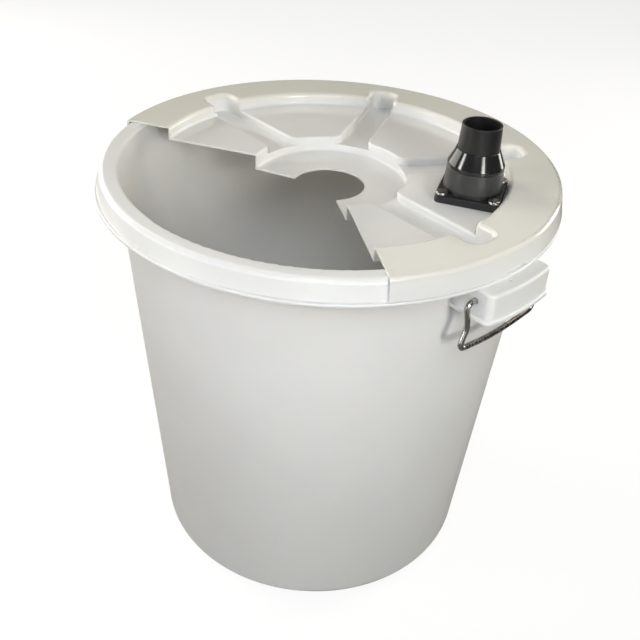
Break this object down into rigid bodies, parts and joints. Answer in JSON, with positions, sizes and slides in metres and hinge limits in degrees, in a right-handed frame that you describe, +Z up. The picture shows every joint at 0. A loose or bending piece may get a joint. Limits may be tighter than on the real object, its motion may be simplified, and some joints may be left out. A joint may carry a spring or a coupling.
{
  "type": "plastic fermenting bucket",
  "caption": "Round tapered plastic fermenting tub with a rolled rim, wire side handles and an inset lid, cut open on one side, that carries a flanged hose adaptor.",
  "frame": {"origin": "centre of the flat base, where the tub stands", "axes": "+Z up along the tub's axis; +X and -X through the two handle brackets; the lid's open sector faces -Y"},
  "size_m": [0.5688, 0.53, 0.5836],
  "materials": {
    "tub_plastic": "satin, milky white polyethylene",
    "lid_plastic": "satin, warm off-white polyethylene",
    "black_plastic": "satin black",
    "black_gloss": "gloss black",
    "gasket_rubber": "matt",
    "handle_steel": "bright drawn wire",
    "screw_steel": "bright"
  },
  "bodies": {
    "tub": {"tub_shell": "tub_plastic"},
    "handle_right": {"handle_wire_right": "handle_steel"},
    "handle_left": {"handle_wire_left": "handle_steel"},
    "lid": {"lid_shell": "lid_plastic", "flange_gasket": "gasket_rubber", "adaptor_flange": "black_plastic", "adaptor_cone": "black_gloss", "adaptor_spigot": "black_plastic", "flange_screws": "screw_steel", "flange_washers": "screw_steel", "flange_nuts": "screw_steel"}
  },
  "joints": [
    {"name": "lid_lift", "type": "slide", "parent": "tub", "child": "lid", "axis": [0, 0, 1], "range_m": [0, 0.25]},
    {"name": "handle_right_swing", "type": "hinge", "parent": "tub", "child": "handle_right", "pos_m": [0.259, 0, 0.475], "axis": [0, -1, 0], "range_deg": [-20, 155]},
    {"name": "handle_left_swing", "type": "hinge", "parent": "tub", "child": "handle_left", "pos_m": [-0.259, 0, 0.475], "axis": [0, 1, 0], "range_deg": [-20, 155]}
  ]
}
